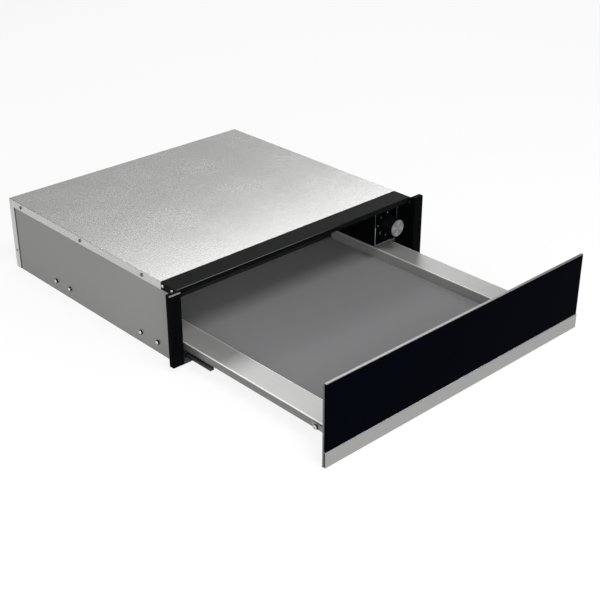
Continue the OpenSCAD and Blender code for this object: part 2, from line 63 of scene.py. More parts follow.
class Axis(Enum):
    """The row frame's axes, as directions."""

    X = (1.0, 0.0, 0.0)
    Y = (0.0, 1.0, 0.0)
    Z = (0.0, 0.0, 1.0)


class Side(Enum):
    """The two sides of the object, seen from the front."""

    LEFT = -1
    RIGHT = 1


class Part(Enum):
    """What an edit-mode selection is made of."""

    EDGES = "EDGE"
    FACES = "FACE"


# ---------------------------------------------------------------- shaders


@dataclass(frozen=True)
class Signal:
    """A node's output that Python arithmetic can be done on."""

    sheet: "Sheet"
    socket: bpy.types.NodeSocket

    def calc(self, operation: str, *values: Any, clamp: bool = False) -> "Signal":
        """Adds a Math node.

        Args:
            operation: the Math node's operation.
            values: its inputs in order.
            clamp: keeps the result from 0 to 1.

        Returns:
            The node's result.
        """
        settings = {"operation": operation, "use_clamp": clamp}
        return self.sheet.node("ShaderNodeMath", settings, dict(enumerate(values)))

    def __add__(self, other: Any) -> "Signal":
        """Adds."""
        return self.calc("ADD", self, other)

    def __rsub__(self, other: Any) -> "Signal":
        """Subtracts this from a number."""
        return self.calc("SUBTRACT", other, self)

    def __mul__(self, other: Any) -> "Signal":
        """Multiplies."""
        return self.calc("MULTIPLY", self, other)

    def __pow__(self, other: Any) -> "Signal":
        """Raises to a power."""
        return self.calc("POWER", self, other)

    def above(self, limit: float) -> "Signal":
        """1 where this is over a limit, and 0 elsewhere."""
        return self.calc("GREATER_THAN", self, limit)

    def beyond(self, limit: float) -> "Signal":
        """1 where this is past a limit on either side of 0, and 0 elsewhere."""
        return self.above(limit) + (1 - self.above(-limit))

    def clamped(self) -> "Signal":
        """This, kept from 0 to 1."""
        return self.calc("ADD", self, 0.0, clamp=True)

    def rising(self, low: float, high: float) -> "Signal":
        """0 below low, 1 above high and a smooth step between."""
        settings = {"interpolation_type": "SMOOTHSTEP"}
        values = {"Value": self, "From Min": low, "From Max": high}
        return self.sheet.node("ShaderNodeMapRange", settings, values)


class Sheet:
    """The node sheet of one material, with a Principled shader on it."""

    def __init__(self, name: str) -> None:
        """Starts a material of that name."""
        self.material = bpy.data.materials.new(name)
        self.material.use_nodes = True
        self.nodes = self.material.node_tree.nodes
        self.links = self.material.node_tree.links
        self.shader = self.nodes["Principled BSDF"]
        self.place = self.node("ShaderNodeTexCoord", output="Object")

    def node(self, kind: str, settings: dict[str, Any] | None = None,
             inputs: dict[Any, Any] | None = None, output: Any = 0) -> Signal:
        """Adds one node.

        Args:
            kind: the node's type.
            settings: its properties.
            inputs: values or links by the socket's name or number.
            output: the name or number of the output wanted.

        Returns:
            That output.
        """
        made = self.nodes.new(kind)
        for key, value in (settings or {}).items():
            setattr(made, key, value)
        for key, value in (inputs or {}).items():
            self._feed(made.inputs[key], value)
        return Signal(self, made.outputs[output])

    def _feed(self, socket: bpy.types.NodeSocket, value: Any) -> None:
        """Links a signal to a socket, or sets the socket's value."""
        if isinstance(value, Signal):
            self.links.new(value.socket, socket)
        elif isinstance(value, tuple) and socket.type == "RGBA":
            socket.default_value = (*value, 1.0)
        else:
            socket.default_value = value

    def put(self, **values: Any) -> None:
        """Sets or links the shader's own sockets; a name's underscores stand for spaces."""
        for key, value in values.items():
            self._feed(self.shader.inputs[key.replace("_", " ")], value)

    def stretched(self, scale: Place) -> Signal:
        """Object coordinates, scaled by a factor along each axis."""
        return self.node("ShaderNodeMapping", None, {"Vector": self.place, "Scale": tuple(scale)})

    def noise(self, scale: float, detail: float = 3.0, at: Signal | None = None) -> Signal:
        """A noise from 0 to 1.

        Args:
            scale: waves a metre.
            detail: octaves.
            at: coordinates other than the object's own.

        Returns:
            The noise.
        """
        values = {"Vector": at or self.place, "Scale": scale, "Detail": detail}
        return self.node("ShaderNodeTexNoise", None, values)

    def cells(self, scale: float, output: str = "Color") -> Signal:
        """One output of a cell pattern with that many cells a metre."""
        return self.node("ShaderNodeTexVoronoi", None, {"Vector": self.place, "Scale": scale},
                         output)

    def split(self, at: Signal | None = None) -> tuple[Signal, ...]:
        """The X, Y and Z of the object's coordinates, or of other ones."""
        parts = self.node("ShaderNodeSeparateXYZ", None, {0: at or self.place})
        return tuple(Signal(self, socket) for socket in parts.socket.node.outputs)

    def blend(self, share: Any, first: Any, second: Any) -> Signal:
        """Mixes two colours by a share of the second."""
        settings = {"data_type": "RGBA"}
        return self.node("ShaderNodeMix", settings, {0: share, 6: first, 7: second}, 2)

    def relief(self, height: Signal, depth: float, strength: float) -> None:
        """Feeds a bump of a depth in metres to the shader's normal."""
        values = {"Height": height, "Distance": depth, "Strength": strength}
        self.put(Normal=self.node("ShaderNodeBump", None, values, "Normal"))


# ---------------------------------------------------------------- finishes


@dataclass(frozen=True)
class Finish:
    """What every finish has.

    Args:
        name: the material's name.
        colour: its main colour.
        roughness: its mean roughness.
    """

    name: str
    colour: Colour
    roughness: float

    def material(self) -> bpy.types.Material:
        """The finish's material, made once."""
        found = bpy.data.materials.get(self.name)
        if found:
            return found
        sheet = Sheet(self.name)
        self.paint(sheet)
        return sheet.material

    def paint(self, sheet: Sheet) -> None:
        """Builds the finish's nodes on a sheet."""
        raise NotImplementedError

    def shade(self, sheet: Sheet, amount: Any, share: float) -> Signal:
        """The colour, made darker or lighter.

        Args:
            sheet: the sheet to build on.
            amount: 0 for the darkest and 1 for the lightest places.
            share: how far the two stand from the colour.

        Returns:
            The varied colour.
        """
        dark, light = (tuple(min(1.0, c * factor) for c in self.colour)
                       for factor in (1 - share, 1 + share))
        return sheet.blend(amount, dark, light)

    def lay(self, sheet: Sheet, colour: Signal, uneven: Signal, mean: float,
            relief: tuple[Signal, float, float], **constants: float) -> None:
        """Puts colour, roughness and relief on the shader.

        Args:
            sheet: the sheet to build on.
            colour: the base colour.
            uneven: what varies the roughness.
            mean: the mean of that, which is taken off again.
            relief: the bump's height, its depth in millimetres and its strength.
            constants: the shader's other sockets.
        """
        height, depth, strength = relief
        sheet.put(Base_Color=colour, Roughness=(uneven + (self.roughness - mean)).clamped(),
                  **constants)
        sheet.relief(height, depth * MM, strength)


@dataclass(frozen=True)
class Galvanised(Finish):
    """Zinc-coated sheet with a fine spangle and a few dark pits."""

    metallic: float = 0.6
    spangle: float = 700.0
    contrast: float = 0.10

    def paint(self, sheet: Sheet) -> None:
        """Spangle cells, a slow cloud over them, pits and a shallow relief."""
        cell = sheet.node("ShaderNodeSeparateColor", None, {0: sheet.cells(self.spangle)})
        fine = sheet.noise(self.spangle * 2.2, 2.0)
        cloud = sheet.noise(9.0, 4.0)
        mix = (cell * 0.55 + fine * 0.3 + cloud * 0.15).clamped()
        pits = 1 - sheet.cells(150.0, "Distance").rising(0.05, 0.11)
        rare = sheet.noise(60.0, 2.0).above(0.62)
        dark = tuple(c * 0.45 for c in self.colour)
        tone = sheet.blend(pits * rare * 0.25, self.shade(sheet, mix, self.contrast), dark)
        self.lay(sheet, tone, cell * 0.05 + cloud * 0.05, 0.05, (fine + cell * 0.6, 0.02, 0.06),
                 Metallic=self.metallic)


@dataclass(frozen=True)
class PowderCoat(Finish):
    """Baked paint with a faint orange peel, and a painted highlight along one top front edge.

    Args:
        gloss: the specular level.
        peel: the orange peel's waves a metre.
        edge: where the painted highlight lies: ahead of the first number along Y and above the
            second along Z.
        highlight_fade: where along X the painted highlight starts and ends thinning out, towards
            the right.
        highlight_colour: the colour of the painted highlight.
    """

    gloss: float = 0.5
    peel: float = 900.0
    edge: tuple[float, float] | None = None
    highlight_fade: tuple[float, float] = (-0.05, 0.15)
    highlight_colour: Colour = (0.10, 0.10, 0.10)

    def paint(self, sheet: Sheet) -> None:
        """A fine peel, with handling marks in the gloss."""
        peel = sheet.noise(self.peel, 2.0)
        marks = sheet.noise(14.0, 4.0)
        tone = self.shade(sheet, marks, 0.18)
        # Painted highlight: a lighter line along the top front edge, thinning out towards the
        # right, is mixed into the colour.
        if self.edge:
            across, along, up = sheet.split()
            left = 1 - across.rising(*self.highlight_fade)
            line = (1 - along.above(self.edge[0])) * up.above(self.edge[1]) * left
            tone = sheet.blend(line * (marks * 0.6 + 0.5).clamped(), tone, self.highlight_colour)
        self.lay(sheet, tone, marks * 0.08, 0.04, (peel, 0.03, 0.4), Specular_IOR_Level=self.gloss)


@dataclass(frozen=True)
class Brushed(Finish):
    """Brushed metal, its strokes along one axis, with painted shade on chosen places.

    Args:
        along: the axis.
        metallic: how metallic it is.
        contrast: how far the strokes' tones stand apart.
        shaded_flank: painted shade lies beyond the first number along X and below the second along
            Z.
        rear: painted shade lies behind this along Y too.
        painted_shade_colour: the colour of the painted shade.
    """

    along: Axis = Axis.Y
    metallic: float = 1.0
    contrast: float = 0.10
    shaded_flank: tuple[float, float] | None = None
    rear: float = 1.0
    painted_shade_colour: Colour = (0.02, 0.02, 0.02)

    def paint(self, sheet: Sheet) -> None:
        """Long thin strokes in colour, gloss and relief, and a slow unevenness."""
        scale = tuple(6.0 if part else 1.0e3 for part in self.along.value)
        strokes = sheet.noise(1.0, 4.0, sheet.stretched(scale))
        wide = sheet.noise(1.0, 2.0, sheet.stretched(tuple(s * 0.22 for s in scale)))
        cloud = sheet.noise(7.0, 3.0)
        colour = self.shade(sheet, strokes * 0.6 + wide * 0.4, self.contrast)
        # Painted shade: the lower outer flanges and everything behind the rear limit are mixed
        # towards a near-black colour.
        if self.shaded_flank:
            across, along, up = sheet.split()
            shaded_skirt = across.beyond(self.shaded_flank[0]) * (1 - up.above(self.shaded_flank[1]))
            places = (shaded_skirt + along.above(self.rear) * 1.6).clamped()
            colour = sheet.blend(places * 0.6, colour, self.painted_shade_colour)
        self.lay(sheet, colour, strokes * 0.1 + cloud * 0.06, 0.08, (strokes, 0.02, 0.35),
                 Metallic=self.metallic)


@dataclass(frozen=True)
class Spun(Finish):
    """Metal faced on a lathe, its rings and painted highlight fans about an axis along Y."""

    centre: Place = (0.0, 0.0, 0.0)
    ring_and_fan_contrast: float = 0.45

    def paint(self, sheet: Sheet) -> None:
        """Fine rings with four bright and four dark fans; the fans are a painted highlight and
        reflection, as a turned face shows in light.
        """
        shift = tuple(-c for c in self.centre)
        local = sheet.node("ShaderNodeVectorMath", {"operation": "ADD"}, {0: sheet.place, 1: shift})
        across, _, up = sheet.split(local)
        radius = (across * across + up * up) ** 0.5
        angle = up.calc("ARCTAN2", up, across)
        rings = radius.calc("SINE", radius * 2.4e4)
        # Painted highlight and reflection: bright and dark fans round the axis.
        fan = angle.calc("COSINE", angle * 4.0 + 0.8)
        polar = sheet.node("ShaderNodeCombineXYZ", None, {0: radius * 9.0e3, 1: angle * 2.0})
        grain = sheet.noise(1.0, 3.0, polar)
        tone = (fan * 0.28 + rings * 0.06 + grain * 0.5 + 0.25).clamped()
        self.lay(sheet, self.shade(sheet, tone, self.ring_and_fan_contrast), grain * 0.12, 0.06,
                 (rings + grain, 0.01, 0.3), Metallic=1.0)


@dataclass(frozen=True)
class Zinc(Finish):
    """Plated or bare steel on fasteners and runners, with small scuffs."""

    metallic: float = 1.0
    scuffs: float = 0.12

    def paint(self, sheet: Sheet) -> None:
        """Cloudy plating, scuffs and a soft relief."""
        cloud = sheet.noise(55.0, 4.0)
        scuff = sheet.noise(1.0, 3.0, sheet.stretched((700.0, 60.0, 700.0)))
        tone = self.shade(sheet, cloud * 0.5 + scuff * 0.5, self.scuffs)
        self.lay(sheet, tone, scuff * 0.14 + cloud * 0.08, 0.11, (scuff, 0.02, 0.3),
                 Metallic=self.metallic)


@dataclass(frozen=True)
class Moulded(Finish):
    """Moulded plastic with a fine spark-eroded grain."""

    grain: float = 1500.0
    gloss: float = 0.5

    def paint(self, sheet: Sheet) -> None:
        """Grain in the relief, and a slow sheen."""
        grain = sheet.cells(self.grain, "Distance")
        flow = sheet.noise(30.0, 3.0)
        self.lay(sheet, self.shade(sheet, flow, 0.12), flow * 0.10, 0.05, (grain, 0.03, 0.3),
                 Specular_IOR_Level=self.gloss)


@dataclass(frozen=True)
class EnamelledGlass(Finish):
    """Glass with black enamel behind it: a deep gloss with the least waviness."""

    gloss: float = 0.1

    def paint(self, sheet: Sheet) -> None:
        """A faint float-glass wave, and dust in the gloss."""
        wave = sheet.noise(5.0, 2.0)
        dust = sheet.noise(2200.0, 2.0).rising(0.62, 0.74)
        self.lay(sheet, self.shade(sheet, dust, 0.25), wave * 0.03 + dust * 0.05, 0.0,
                 (wave, 0.02, 0.2), Specular_IOR_Level=self.gloss)


@dataclass(frozen=True)
class Rubber(Finish):
    """A rubber sheet with a fine pressed stipple, and painted shade along its two edges in X."""

    stipple: float = 900.0
    gloss: float = 0.4
    # border and rim: where the painted shade starts along X, and its colour.
    shade_border: float = 1.0
    rim: Colour = (0.01, 0.01, 0.01)

    def paint(self, sheet: Sheet) -> None:
        """Stipple in relief, with a dusty bloom."""
        dots = sheet.cells(self.stipple, "Distance")
        bloom = sheet.noise(6.0, 5.0)
        fine = sheet.noise(1600.0, 2.0)
        tone = (bloom * 0.6 + fine * 0.4).clamped()
        # Painted shade: past this half width along X the mat turns towards a near-black colour, for
        # the crease at the foot of the tray's walls.
        painted_shade_band = sheet.split()[0].beyond(self.shade_border)
        colour = sheet.blend(painted_shade_band * 0.85, self.shade(sheet, tone, 0.14), self.rim)
        self.lay(sheet, colour, bloom * 0.10, 0.05, (1 - dots, 0.05, 0.3),
                 Specular_IOR_Level=self.gloss)


@dataclass(frozen=True)
class Wound(Finish):
    """Enamelled wire wound about an axis, under a clear varnish."""

    pitch: float = 0.7 * MM

    def paint(self, sheet: Sheet) -> None:
        """Turns side by side along X, each lighter on its crown and darker between turns, with a
        noise in the tone.
        """
        across = sheet.split()[0]
        # Painted highlight and shade: a sine across each turn lightens its crown and darkens the
        # groove between turns.
        wave = across.calc("SINE", across * (2 * math.pi / self.pitch))
        tone = (wave * 0.4 + sheet.noise(240.0, 2.0)).clamped()
        self.lay(sheet, self.shade(sheet, tone, 0.3), (1 - tone) * 0.2, 0.0, (wave, 0.15, 0.7),
                 Coat_Weight=0.5)


class Finishes:
    """Every finish of the object, by the place it is used."""

    cover = Galvanised("galvanised_cover", (0.50, 0.50, 0.495), 0.25, 0.8, contrast=0.06)
    # A darker copy of the galvanised sheet: painted shade for the sides, base and brackets, which
    # get less light than the cover.
    shaded_galvanised = Galvanised("galvanised_shaded", (0.22, 0.22, 0.218), 0.46, 0.3, contrast=0.04)
    inner = Galvanised("galvanised_inner", (0.42, 0.42, 0.415), 0.45)
    # The bar's and the left post's top front edges carry a painted highlight.
    frame = PowderCoat("frame_black", (0.0022, 0.0024, 0.0025), 0.34, gloss=0.02,
                       edge=(-0.2500, 0.1381))
    post = PowderCoat("post_black", (0.0018, 0.0020, 0.0022), 0.22, gloss=0.005,
                      edge=(-0.2606, 0.1385), highlight_colour=(0.18, 0.18, 0.18))
    box = PowderCoat("box_black", (0.002, 0.0023, 0.0027), 0.25, gloss=0.01)
    backing = PowderCoat("backing_grey", (0.085, 0.086, 0.088), 0.42, gloss=0.15)
    fascia = Moulded("fascia_black", (0.0009, 0.0012, 0.0022), 0.12, gloss=0.004)
    ink = Moulded("print_white", (0.24, 0.245, 0.25), 0.5)
    trim = Brushed("trim_bright", (0.36, 0.36, 0.355), 0.24, Axis.Z)
    # The tray's painted shade: on the lower part of its ledges' outer flanges, and on its back part
    # deep inside the housing.
    tray = Brushed("tray_steel", (0.36, 0.358, 0.354), 0.37, Axis.Y, 0.5, 0.07,
                   shaded_flank=(0.2625, 0.0400), rear=-0.1015)
    # A lighter copy of the tray's steel, for the painted highlight rods along the tray's bends.
    rim = Brushed("bend_highlight_steel", (0.70, 0.70, 0.69), 0.30, Axis.Y, 0.4, 0.05)
    strip = Brushed("strip_steel", (0.345, 0.345, 0.342), 0.33, Axis.X, contrast=0.08)
    edge = Brushed("edge_bright", (0.26, 0.26, 0.257), 0.30, Axis.X)
    screw = Zinc("screw_bright", (0.66, 0.65, 0.63), 0.26)
    dark_screw = Zinc("screw_dark", (0.12, 0.12, 0.12), 0.3, 0.9)
    # Near-black in place of the runners' zinc: painted shade on the fixed and middle members.
    rail = Zinc("rail_shade_black", (0.018, 0.018, 0.02), 0.30, 0.5)
    slide = Zinc("slide_zinc", (0.48, 0.48, 0.47), 0.3)
    probe = Zinc("probe_copper", (0.60, 0.34, 0.22), 0.34)
    sheath = Zinc("element_sheath", (0.24, 0.20, 0.17), 0.45)
    laminate = Zinc("motor_laminate", (0.30, 0.30, 0.31), 0.45)
    wire = Wound("coil_wire", (0.36, 0.13, 0.05), 0.3)
    # The mat's painted shade lies along the foot of the tray's side walls.
    mat = Rubber("mat_rubber", (0.165, 0.165, 0.166), 0.62, gloss=0.12, shade_border=0.2135)
    bush = Rubber("bush_rubber", (0.03, 0.03, 0.03), 0.6)
    glass = EnamelledGlass("front_glass_black", (0.0005, 0.0010, 0.0024), 0.05, gloss=0.003)
    white = Moulded("plastic_white", (0.74, 0.72, 0.66), 0.45)
    black = Moulded("plastic_black", (0.0035, 0.0036, 0.004), 0.42, gloss=0.05)
    lamp = Moulded("lamp_dark", (0.006, 0.004, 0.004), 0.18, gloss=0.05)


# ---------------------------------------------------------------- the bench


class Body(Enum):
    """The bodies that pieces ride on."""

    HOUSING = "housing"
    DRAWER = "drawer"
    KNOB = "knob"
    LEFT_MIDDLE = "left_middle"
    RIGHT_MIDDLE = "right_middle"


Test = Callable[[Vector, Vector], bool]


class Solid:
    """One mesh object on the bench, shaped with Blender's own operators."""

    def __init__(self, thing: bpy.types.Object) -> None:
        """Takes a mesh object."""
        self.thing = thing

    @staticmethod
    def clear() -> None:
        """Back to object mode with nothing selected."""
        if bpy.context.mode != "OBJECT":
            bpy.ops.object.mode_set(mode="OBJECT")
        bpy.ops.object.select_all(action="DESELECT")

    @classmethod
    def _taken(cls, name: str) -> "Solid":
        """Names the object just added and puts its place in its mesh."""
        made = bpy.context.active_object
        made.name = name
        made.data.name = name
        bpy.ops.object.transform_apply(location=True, rotation=True, scale=True)
        return cls(made)

    @classmethod
    def block(cls, name: str, low: Place, high: Place) -> "Solid":
        """A block between two corners."""
        low, high = Vector(low), Vector(high)
        cls.clear()
        bpy.ops.mesh.primitive_cube_add(size=1.0, location=(low + high) / 2)
        bpy.context.active_object.scale = high - low
        return cls._taken(name)

    @classmethod
    def rod(cls, name: str, start: Place, end: Place, radius: float, sides: int = 48) -> "Solid":
        """A round bar from one point to another."""
        start, end = Vector(start), Vector(end)
        line = end - start
        turn = line.to_track_quat("Z", "Y").to_euler()
        cls.clear()
        bpy.ops.mesh.primitive_cylinder_add(vertices=sides, radius=radius, depth=line.length,
                                            location=(start + end) / 2, rotation=turn)
        return cls._taken(name)

    @classmethod
    def leaf(cls, name: str, corner: Place, first: Place, second: Place) -> "Solid":
        """A flat leaf from a corner along two directions at right angles."""
        corner, first, second = Vector(corner), Vector(first), Vector(second)
        columns = (first.normalized(), second.normalized(), first.cross(second).normalized())
        turn = Matrix(columns).transposed().to_euler()
        cls.clear()
        bpy.ops.mesh.primitive_plane_add(size=1.0, location=corner + (first + second) / 2,
                                         rotation=turn)
        bpy.context.active_object.scale = (first.length, second.length, 1.0)
        return cls._taken(name)

    @classmethod
    def folded(cls, name: str, path: Sequence[Place], run: Place, thickness: float,
               bend: float) -> "Solid":
        """A sheet folded along a path and extruded across it.

        Args:
            name: the piece's name.
            path: the points of the middle of the sheet, in order.
            run: the sheet's width, as a vector across the path.
            thickness: the sheet's thickness.
            bend: the radius of the bends, in the middle of the sheet.

        Returns:
            The folded sheet, with eased edges.
        """
        points, run = [Vector(p) for p in path], Vector(run)
        made = cls.leaf(name, points[0], points[1] - points[0], run)
        for here, there in zip(points[1:], points[2:]):
            end = here + run / 2
            made.pick(Part.EDGES, lambda middle, _, end=end: (middle - end).length < 1e-6)
            bpy.ops.mesh.extrude_region_move(TRANSFORM_OT_translate={"value": there - here})
        return made.thickened(thickness, bend)

    def thickened(self, thickness: float, bend: float) -> "Solid":
        """Rounds a leaf's bends and gives it its thickness."""
        self.pick(Part.FACES, lambda *_: True)
        bpy.ops.mesh.normals_make_consistent(inside=False)
        self.eased(bend, 4, BEND_ANGLE)
        self.modify("SOLIDIFY", thickness=thickness, offset=0.0, use_even_offset=True)
        return self.eased(thickness * 0.22, 2)

    def active(self) -> bpy.types.Object:
        """Makes this the one selected object."""
        Solid.clear()
        bpy.context.view_layer.objects.active = self.thing
        self.thing.select_set(True)
        return self.thing

    def pick(self, part: Part, test: Test) -> None:
        """Goes to edit mode and selects by place and direction.

        Args:
            part: what is selected.
            test: takes a part's middle and its normal, or an edge's direction.
        """
        self.active()
        bpy.ops.object.mode_set(mode="EDIT")
        bpy.ops.mesh.select_mode(type=part.value)
        bpy.ops.mesh.select_all(action="DESELECT")
        mesh = bmesh.from_edit_mesh(self.thing.data)
        mesh.normal_update()
        if part is Part.EDGES:
            for edge in mesh.edges:
                a, b = (v.co for v in edge.verts)
                edge.select_set(test((a + b) / 2, (b - a).normalized()))
        else:
            for face in mesh.faces:
                face.select_set(test(face.calc_center_median(), face.normal))
        mesh.select_flush_mode()
        bmesh.update_edit_mesh(self.thing.data)

    def rounded(self, radius: float, test: Test, segments: int = 4) -> "Solid":
        """Rounds the edges that a test picks."""
        self.pick(Part.EDGES, test)
        bpy.ops.mesh.bevel(offset=radius, segments=segments, affect="EDGES")
        Solid.clear()
        return self

    def sunk(self, margin: float, depth: float, test: Test) -> "Solid":
        """Sinks a pocket in the faces that a test picks.

        Args:
            margin: the rim left round the pocket.
            depth: the pocket's depth; a negative one raises a pad.
            test: picks the faces.

        Returns:
            This solid.
        """
        self.pick(Part.FACES, test)
        bpy.ops.mesh.inset(thickness=margin, depth=0.0)
        bpy.ops.mesh.inset(thickness=margin * 0.05, depth=-depth)
        Solid.clear()
        return self

    def modify(self, kind: str, **settings: Any) -> "Solid":
        """Adds a modifier, sets it and applies it."""
        thing = self.active()
        made = thing.modifiers.new(kind.lower(), kind)
        for key, value in settings.items():
            setattr(made, key, value)
        bpy.ops.object.modifier_apply(modifier=made.name)
        return self

    def eased(self, width: float, segments: int = 2, angle: float = EASE_ANGLE) -> "Solid":
        """Rounds every edge sharper than an angle in degrees."""
        return self.modify("BEVEL", width=width, segments=segments, limit_method="ANGLE",
                           angle_limit=math.radians(angle))

    def cut(self, *cutters: "Solid") -> "Solid":
        """Cuts other solids out of this one and removes them."""
        for cutter in cutters:
            self.modify("BOOLEAN", object=cutter.thing, operation="DIFFERENCE", solver="EXACT")
            bpy.data.objects.remove(cutter.thing)
        return self

    def joined(self, *others: "Solid") -> "Solid":
        """Joins other solids to this one, as one object."""
        self.active()
        for other in others:
            other.thing.select_set(True)
        bpy.ops.object.join()
        return self

    def copied(self, name: str, step: Matrix) -> "Solid":
        """A copy with its own mesh, moved by a matrix.

        Args:
            name: the copy's name.
            step: where the copy goes; a mirror is turned right side out.

        Returns:
            The copy.
        """
        self.active()
        bpy.ops.object.duplicate(linked=False)
        made = bpy.context.active_object
        made.matrix_world = step
        copy = Solid._taken(name)
        if step.determinant() < 0:
            copy.pick(Part.FACES, lambda *_: True)
            bpy.ops.mesh.flip_normals()
            Solid.clear()
        return copy

    def moved(self, step: Matrix) -> "Solid":
        """Moves and turns this solid by a matrix."""
        self.active().matrix_world = step
        bpy.ops.object.transform_apply(location=True, rotation=True, scale=True)
        return self

    def mirrored(self, name: str) -> "Solid":
        """A copy on the other side of the object's middle plane."""
        return self.copied(name, Matrix.Scale(-1.0, 4, Vector(Axis.X.value)))

    def paired(self) -> "Solid":
        """This solid and its twin on the other side, as one object."""
        return self.joined(self.mirrored("twin"))

    @staticmethod
    def merged(name: str, parts: Sequence["Solid"]) -> "Solid":
        """Several solids as one object of that name."""
        parts[0].thing.name = name
        return parts[0].joined(*parts[1:])

    def settled(self, body: Body, finish: Finish, slot: str, *stands_for: str) -> "Solid":
        """Shades, dresses and mounts the finished piece.

        Args:
            body: the body that it rides on.
            finish: its finish.
            slot: the record's material slot; not used.
            stands_for: the CAD nodes that it replaces.

        Returns:
            This solid.
        """
        thing = self.active()
        bpy.ops.object.shade_smooth_by_angle(angle=math.radians(SMOOTH_ANGLE))
        self.modify("WEIGHTED_NORMAL", keep_sharp=True, weight=100)
        thing.data.materials.clear()
        thing.data.materials.append(finish.material())
        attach(thing, body.value)
        if stands_for:
            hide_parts(*stands_for)
        LOG.info("%s: %d faces, on %s", thing.name, len(thing.data.polygons), body.value)
        return self


def dressed(finish: Finish, *nodes: str) -> None:
    """Gives carried-over CAD nodes a finish.

    Args:
        finish: the finish.
        nodes: the nodes' names.
    """
    for name in nodes:
        node = frame["nodes"][name]
        if node.material_slots:
            node.material_slots[0].material = finish.material()
        else:
            node.data.materials.append(finish.material())
        LOG.info("%s: %s", name, finish.name)


def near(a: float, b: float, slack: float = 1e-5) -> bool:
    """Whether two numbers are the same place."""
    return abs(a - b) < slack


# ---------------------------------------------------------------- sub-assemblies


@dataclass
class HousingShell:
    """The galvanised housing: folded cover, sides, base and back."""

    sheet: float = 1.0 * MM
    bend: float = 1.3 * MM
    shade_strip: float = 2.5 * MM
    proud: float = 0.35 * MM
    flange_d: float = 14.0 * MM
    plug_z: float = 36.0 * MM
    plug_r: float = 2.1 * MM

    def build_cover(self) -> None:
        """Folds the top cover over both sides."""
        low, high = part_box("top_cover")
        half = self.sheet / 2
        left, right, top = low.x + half, high.x - half, high.z - half
        path = [(left, low.y, low.z), (left, low.y, top), (right, low.y, top),
                (right, low.y, low.z)]
        cover = Solid.folded("cover_folded", path, (0, high.y - low.y, 0), self.sheet, self.bend)
        cover.settled(Body.HOUSING, Finishes.cover, "galvanised", "top_cover")

    def build_shade_strips_and_plugs(self) -> None:
        """A dark strip ahead of each back flange, painted shade in the gap there, and a blind plug
        in each flange.
        """
        low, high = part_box("back_panel")
        cover_low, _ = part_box("top_cover")
        front, side = high.y - self.flange_d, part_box("left_side_panel")[0].x
        # Painted shade: a thin dark rubber strip on the side stands for the shadowed gap ahead of
        # the back flange.
        shade_strip = Solid.block("back_shade_strips_and_plugs", (side - self.proud, front - self.shade_strip, low.z + MM),
                           (side, front, cover_low.z)).eased(0.1 * MM)
        middle = high.y - self.flange_d / 2
        plug = Solid.rod("plug", (low.x + 0.2 * MM, middle, self.plug_z),
                         (low.x - self.proud, middle, self.plug_z), self.plug_r, 24)
        shade_strip.joined(plug).paired().settled(Body.HOUSING, Finishes.bush, "rubber_bush")

    def dress(self) -> None:
        """Dresses the panels that keep their CAD shape."""
        # The sides and base take the darker copy of the galvanised sheet, painted shade; the back
        # takes the cover's lighter one.
        dressed(Finishes.shaded_galvanised, "left_side_panel", "right_side_panel", "base_plate")
        dressed(Finishes.cover, "back_panel")

    def build(self) -> None:
        """Builds and dresses the shell."""
        self.build_cover()
        self.build_shade_strips_and_plugs()
        self.dress()


